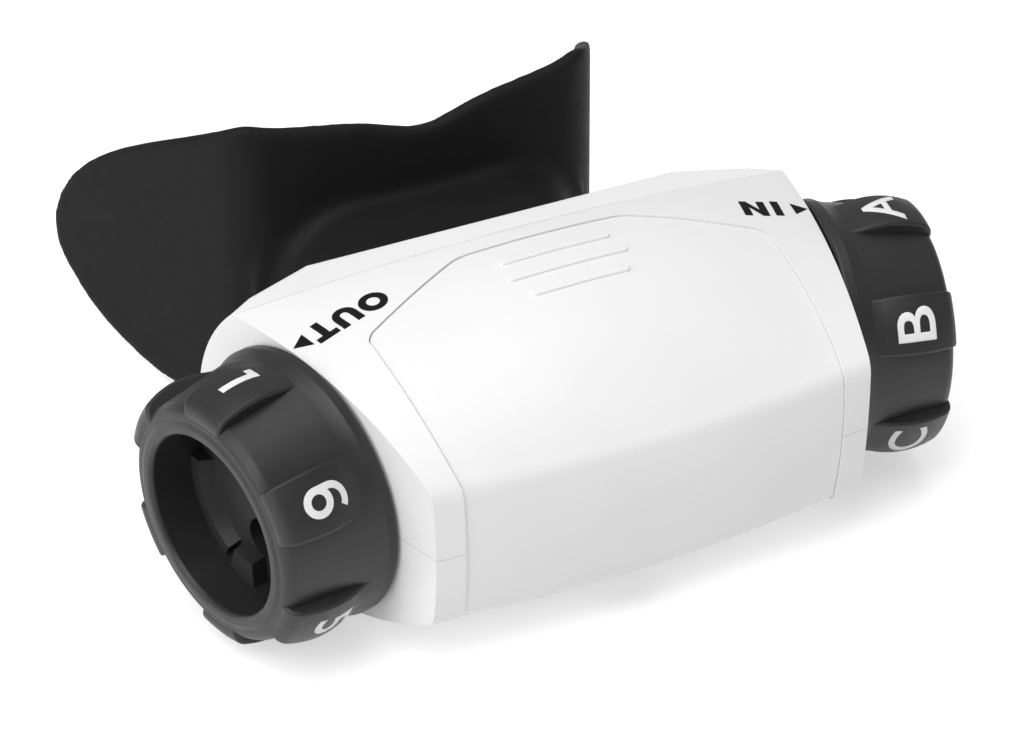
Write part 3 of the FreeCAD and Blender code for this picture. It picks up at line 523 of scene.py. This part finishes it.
def lay_print(piece, place, carrier):
    """Lays flat print down onto its carrier along the print's own normal, as thin ink."""
    piece.matrix_world = place
    bpy.context.view_layer.update()
    apply_modifier(piece, "SHRINKWRAP", target=carrier, wrap_method="PROJECT", use_project_z=True,
                   use_positive_direction=False, use_negative_direction=True,
                   offset=PRINT_THICK / 2)
    apply_modifier(piece, "SOLIDIFY", thickness=PRINT_THICK, offset=-1.0)
    settle(piece)


def dial_labels(name, characters, side, ink):
    """Six labels round one dial, each on its pad, the first one on top."""
    out = Vector((side * math.cos(TILT), -math.sin(TILT), 0.0))
    up = Vector((0.0, 0.0, 1.0))
    front = Vector((-side * math.sin(TILT), -math.cos(TILT), 0.0))
    rim = Vector((side * RIM_X, 0.0, REST_DROP))
    drawn = {"1": figure_one, "6": figure_six}
    pieces = []
    for k, character in enumerate(characters):
        angle = 2 * math.pi * k / len(characters)
        radial = up * math.cos(angle) + front * math.sin(angle)
        height, stretch = LABEL_SIZES[name]
        if character in drawn:
            label = drawn[character]()
        else:
            label = flat_text(f"{name}_{k + 1}", character, height, stretch, LABEL_WEIGHT)
        grid_cut(label, height * stretch, height, PRINT_CELL)
        right = (-out).cross(radial)
        place = frame_of(right, -out, rim + out * LABEL_S + radial * LABEL_RADIUS)
        lay_print(label, place, nodes[name])
        pieces.append(label)
    labels = join(pieces)
    labels.name = f"{name}_labels"
    labels.data.materials.append(ink)
    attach(labels, name)
    return labels


def flow_word(side, ink):
    """Word and arrowhead on the housing's top, lying along the dial's axis, read from behind."""
    out = Vector((side * math.cos(TILT), -math.sin(TILT), 0.0))
    right = -side * out
    up = Vector((0.0, 0.0, 1.0)).cross(right)
    name = "in_word" if side > 0 else "out_word"
    pieces = []
    for letter, width, (x, y) in WORD_LETTERS[side]:
        piece = flat_shape(f"{name}_{letter}", letter_outlines(letter, width * MM))
        pieces.append((piece, frame_of(right, up, Vector((x * MM, y * MM, WORDS_Z)))))
    base, tip = [Vector((x * MM, y * MM, WORDS_Z)) for x, y in ARROWS[side]]
    along, reach = (tip - base).normalized(), (tip - base).length
    head = flat_shape(f"{name}_arrow", [[(0.0, ARROW_HALF_W), (0.0, -ARROW_HALF_W), (reach, 0.0)]])
    pieces.append((head, frame_of(along, Vector((0.0, 0.0, 1.0)).cross(along), base)))
    for piece, place in pieces:
        grid_cut(piece, WORD_HEIGHT, WORD_HEIGHT, PRINT_CELL)
        lay_print(piece, place, nodes["upper_housing"])
    mark = join([piece for piece, place in pieces])
    mark.name = name
    mark.data.materials.append(ink)
    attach(mark, "housing")
    return mark


# Silicone mouthpiece

def collar_fillet():
    """Closed flared ring that carries the collar smoothly into the lip flange, open in the middle."""
    bpy.ops.object.select_all(action="DESELECT")
    inner, start = COLLAR_HALF_H - FILLET_ROOT, COLLAR_MEETS_LIP - FILLET_R - FILLET_ROOT
    bpy.ops.mesh.primitive_circle_add(vertices=FILLET_CORNERS, radius=inner, fill_type="NOTHING",
                                      rotation=(math.pi / 2, 0.0, 0.0))
    ring = bpy.context.view_layer.objects.active
    straight = COLLAR_HALF_W - COLLAR_HALF_H
    settle(ring)
    for vertex in ring.data.vertices:
        vertex.co.x += math.copysign(straight, vertex.co.x)
        vertex.co.y += start
        vertex.co.z += REST_DROP
    only(ring)
    bpy.ops.object.mode_set(mode="EDIT")
    bpy.ops.mesh.select_all(action="SELECT")
    rings = [(start, COLLAR_HALF_H - FILLET_SUNK)]
    for i in range(FILLET_STEPS + 1):
        turn = math.pi / 2 * i / FILLET_STEPS
        rings.append((COLLAR_MEETS_LIP - FILLET_R * (1 - math.sin(turn)),
                      COLLAR_HALF_H + FILLET_R * (1 - math.cos(turn))))
    end_y = COLLAR_MEETS_LIP + FILLET_PAST
    rings += [(end_y, COLLAR_HALF_H + FILLET_R), (end_y, inner), (start, inner)]
    bpy.ops.object.mode_set(mode="OBJECT")
    for y, radius in rings:
        only(ring)
        bpy.ops.object.mode_set(mode="EDIT")
        bpy.ops.mesh.extrude_region_move(TRANSFORM_OT_translate={"value": (0.0, 0.0, 0.0)})
        bpy.ops.object.mode_set(mode="OBJECT")
        for vertex in ring.data.vertices:
            if vertex.select:
                end = math.copysign(straight, vertex.co.x)
                arm = Vector((vertex.co.x - end, 0.0, vertex.co.z - REST_DROP)).normalized() * radius
                vertex.co = (end + arm.x, y, REST_DROP + arm.z)
    merge_doubles(ring)
    bpy.ops.object.mode_set(mode="EDIT")
    bpy.ops.mesh.select_all(action="SELECT")
    bpy.ops.mesh.normals_make_consistent(inside=False)
    bpy.ops.object.mode_set(mode="OBJECT")
    return ring


def mouthpiece(finish):
    """Soft moulding over the solid's own shape: filleted collar, rounded lip flange, bite tabs."""
    solid = nodes["mouthpiece"]
    body = solid.copy()
    body.data = solid.data.copy()
    body.name = "silicone_mouthpiece"
    body.parent = None
    bpy.context.scene.collection.objects.link(body)
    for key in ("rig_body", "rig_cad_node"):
        if key in body:
            del body[key]
    merge_doubles(body)
    body = join([body, collar_fillet()])
    apply_modifier(body, "REMESH", mode="VOXEL", voxel_size=VOXEL)
    apply_modifier(body, "SMOOTH", factor=0.5, iterations=SOFTEN_PASSES)
    apply_modifier(body, "DISPLACE", direction="NORMAL", strength=SWELL, mid_level=0.0)
    apply_modifier(body, "DECIMATE", ratio=TRIANGLES_KEPT)
    only(body)
    bpy.ops.object.shade_smooth()
    body.data.materials.clear()
    body.data.materials.append(finish)
    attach(body, "mouthpiece")
    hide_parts("mouthpiece")
    return body


# Floor and light

def make_studio():
    world = bpy.data.worlds.new("studio")
    world.use_nodes = True
    bpy.context.scene.world = world
    world.node_tree.nodes["Background"].inputs["Color"].default_value = (1.0, 1.0, 1.0, 1.0)
    world.node_tree.nodes["Background"].inputs["Strength"].default_value = SKY
    bpy.ops.object.select_all(action="DESELECT")
    bpy.ops.mesh.primitive_grid_add(x_subdivisions=4, y_subdivisions=4, size=FLOOR_SIZE)
    floor = bpy.context.view_layer.objects.active
    floor.name = "floor"
    floor.data.materials.append(floor_paint())
    for name, place, size, power in LAMPS:
        lamp = bpy.data.lights.new(name, "AREA")
        lamp.shape = "DISK"
        lamp.size = size
        lamp.energy = power
        light = bpy.data.objects.new(name, lamp)
        light.location = place
        light.rotation_euler = (Vector(LAMPS_AIM) - Vector(place)).to_track_quat("-Z", "Y").to_euler()
        bpy.context.scene.collection.objects.link(light)


def floor_paint():
    """Pale floor that keeps a shadow, lifted to white where the camera or a reflection sees it."""
    finish = Finish("pale_floor", Roughness=0.9, Specular_IOR_Level=0.1)
    finish.set("Base Color", finish.tint(finish.noise(0.01), grey(0.78), grey(0.8)))
    path = finish.nodes.new("ShaderNodeLightPath")
    seen = (Wire(finish, path.outputs["Is Camera Ray"]) + Wire(finish, path.outputs["Is Glossy Ray"])
            + Wire(finish, path.outputs["Is Transmission Ray"]))
    finish.set("Emission Color", finish.tint(seen, grey(0.0), grey(FLOOR_LIFT)))
    finish.set("Emission Strength", 1.0)
    return finish.material


make_camera()
bpy.context.scene.view_settings.view_transform = "Standard"
finishes = make_finishes()
dress_nodes(finishes)
dial_labels("out_dial", "165432", -1, finishes["label_ink"])
dial_labels("in_dial", "ABCDEF", 1, finishes["label_ink"])
flow_word(-1, finishes["word_ink"])
flow_word(1, finishes["word_ink"])
mouthpiece(finishes["silicone_black"])
make_studio()
